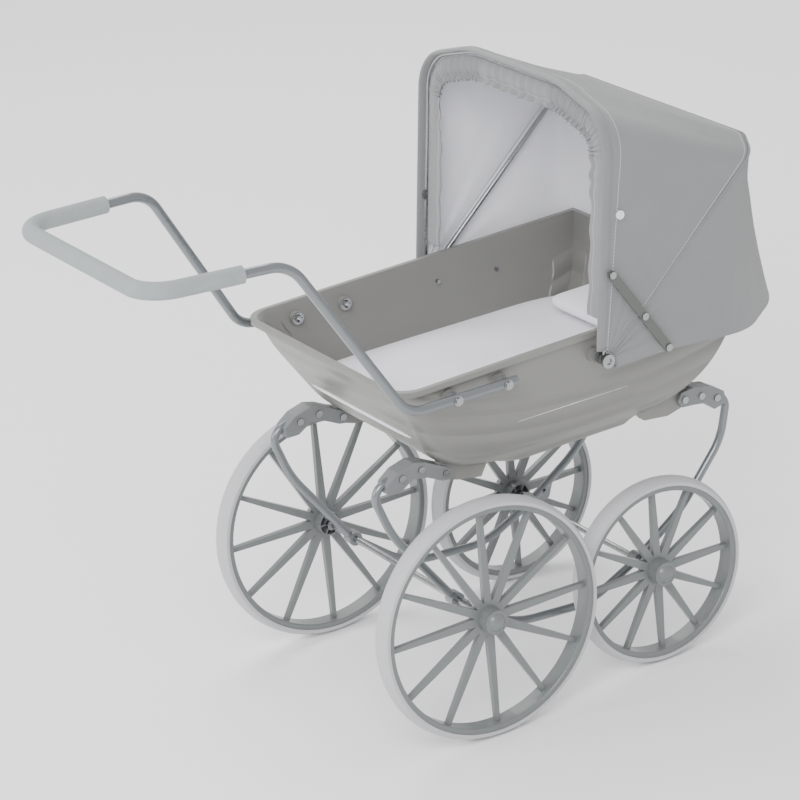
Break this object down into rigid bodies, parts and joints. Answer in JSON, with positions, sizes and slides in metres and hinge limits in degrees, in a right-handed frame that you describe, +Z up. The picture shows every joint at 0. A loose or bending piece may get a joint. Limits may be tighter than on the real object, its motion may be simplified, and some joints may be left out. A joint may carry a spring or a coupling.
{
  "type": "baby stroller",
  "caption": "Toy pram with a moulded tub on a sprung tube chassis, spoked wheels, a looped push handle and a folding fabric hood.",
  "frame": {"origin": "on the floor under the middle of the outline", "axes": "+X from the handle towards the hood, +Y to the left of the person pushing, +Z up"},
  "size_m": [0.9004, 0.432, 0.7462],
  "materials": {
    "tyre_rubber": "matt",
    "wheel_plastic": "satin",
    "painted_tube": "gloss",
    "grip_foam": "matt foam",
    "trim_plastic": "satin",
    "tub_plastic": "satin",
    "bedding_cloth": "matt",
    "hood_cloth": "woven",
    "stay_steel": "satin",
    "bright_steel": "polished"
  },
  "bodies": {
    "pram": {"arm_bolts_left": "bright_steel", "arm_bolts_right": "bright_steel", "arm_front_left": "trim_plastic", "arm_front_right": "trim_plastic", "arm_rear_left": "trim_plastic", "arm_rear_right": "trim_plastic", "axle_front": "bright_steel", "axle_rear": "bright_steel", "base_bow": "bright_steel", "chassis_left": "painted_tube", "chassis_right": "painted_tube", "handle_bolts": "bright_steel", "handle_grip": "grip_foam", "handle_nuts": "bright_steel", "handle_plugs": "trim_plastic", "handle_spacers": "trim_plastic", "handle_tube": "painted_tube", "hood_back": "hood_cloth", "hood_pivot_spacers": "trim_plastic", "hood_pivots": "bright_steel", "mattress_pad": "bedding_cloth", "pillow": "bedding_cloth", "stay_anchors": "bright_steel", "tub": "tub_plastic"},
    "wheel_rear_left_body": {"tyre_rear_left": "tyre_rubber", "wheel_rear_left": "wheel_plastic", "hub_cap_rear_left": "wheel_plastic"},
    "wheel_rear_right_body": {"tyre_rear_right": "tyre_rubber", "wheel_rear_right": "wheel_plastic", "hub_cap_rear_right": "wheel_plastic"},
    "wheel_front_left_body": {"tyre_front_left": "tyre_rubber", "wheel_front_left": "wheel_plastic", "hub_cap_front_left": "wheel_plastic"},
    "wheel_front_right_body": {"tyre_front_right": "tyre_rubber", "wheel_front_right": "wheel_plastic", "hub_cap_front_right": "wheel_plastic"},
    "hood_middle": {"middle_bow": "bright_steel"},
    "hood_front": {"front_bow": "bright_steel", "hood_roof": "hood_cloth", "hood_valance": "hood_cloth", "stay_bow_rivets": "bright_steel"},
    "stay_lower_left_body": {"stay_lower_left": "stay_steel"},
    "stay_upper_left_body": {"stay_upper_left": "stay_steel", "stay_elbow_left": "bright_steel"},
    "stay_lower_right_body": {"stay_lower_right": "stay_steel"},
    "stay_upper_right_body": {"stay_upper_right": "stay_steel", "stay_elbow_right": "bright_steel"}
  },
  "joints": [
    {"name": "spin_rear_left", "type": "hinge", "parent": "pram", "child": "wheel_rear_left_body", "pos_m": [-0.06372, 0.19, 0.152], "axis": [0, 1, 0], "continuous": true},
    {"name": "spin_rear_right", "type": "hinge", "parent": "pram", "child": "wheel_rear_right_body", "pos_m": [-0.06372, -0.19, 0.152], "axis": [0, 1, 0], "continuous": true},
    {"name": "spin_front_left", "type": "hinge", "parent": "pram", "child": "wheel_front_left_body", "pos_m": [0.20028, 0.16, 0.12], "axis": [0, 1, 0], "continuous": true},
    {"name": "spin_front_right", "type": "hinge", "parent": "pram", "child": "wheel_front_right_body", "pos_m": [0.20028, -0.16, 0.12], "axis": [0, 1, 0], "continuous": true},
    {"name": "hood_fold", "type": "hinge", "parent": "pram", "child": "hood_middle", "pos_m": [0.12128, 0, 0.43], "axis": [0, 1, 0], "range_deg": [0, 35], "deforming": ["hood_back", "hood_roof", "hood_valance"]},
    {"name": "hood_front_fold", "type": "hinge", "parent": "hood_middle", "child": "hood_front", "pos_m": [0.12128, 0, 0.43], "axis": [0, 1, 0], "range_deg": [0, 35]},
    {"name": "stay_lower_left_swing", "type": "hinge", "parent": "pram", "child": "stay_lower_left_body", "pos_m": [0.20802, 0.205, 0.42333], "axis": [0, 1, 0], "range_deg": [-41.8, 0]},
    {"name": "stay_upper_left_swing", "type": "hinge", "parent": "hood_front", "child": "stay_upper_left_body", "pos_m": [0.13365, 0.2078, 0.53528], "axis": [0, 1, 0], "range_deg": [0, 41.3]},
    {"name": "stay_lower_right_swing", "type": "hinge", "parent": "pram", "child": "stay_lower_right_body", "pos_m": [0.20802, -0.205, 0.42333], "axis": [0, 1, 0], "range_deg": [-41.8, 0]},
    {"name": "stay_upper_right_swing", "type": "hinge", "parent": "hood_front", "child": "stay_upper_right_body", "pos_m": [0.13365, -0.2078, 0.53528], "axis": [0, 1, 0], "range_deg": [0, 41.3]}
  ],
  "couplings": [
    {"joint": "hood_front_fold", "follows": "hood_fold", "ratio": 1},
    {"joint": "stay_lower_left_swing", "follows": "hood_fold", "ratio": -1.194},
    {"joint": "stay_upper_left_swing", "follows": "hood_fold", "ratio": 1.178},
    {"joint": "stay_lower_right_swing", "follows": "hood_fold", "ratio": -1.194},
    {"joint": "stay_upper_right_swing", "follows": "hood_fold", "ratio": 1.178}
  ]
}
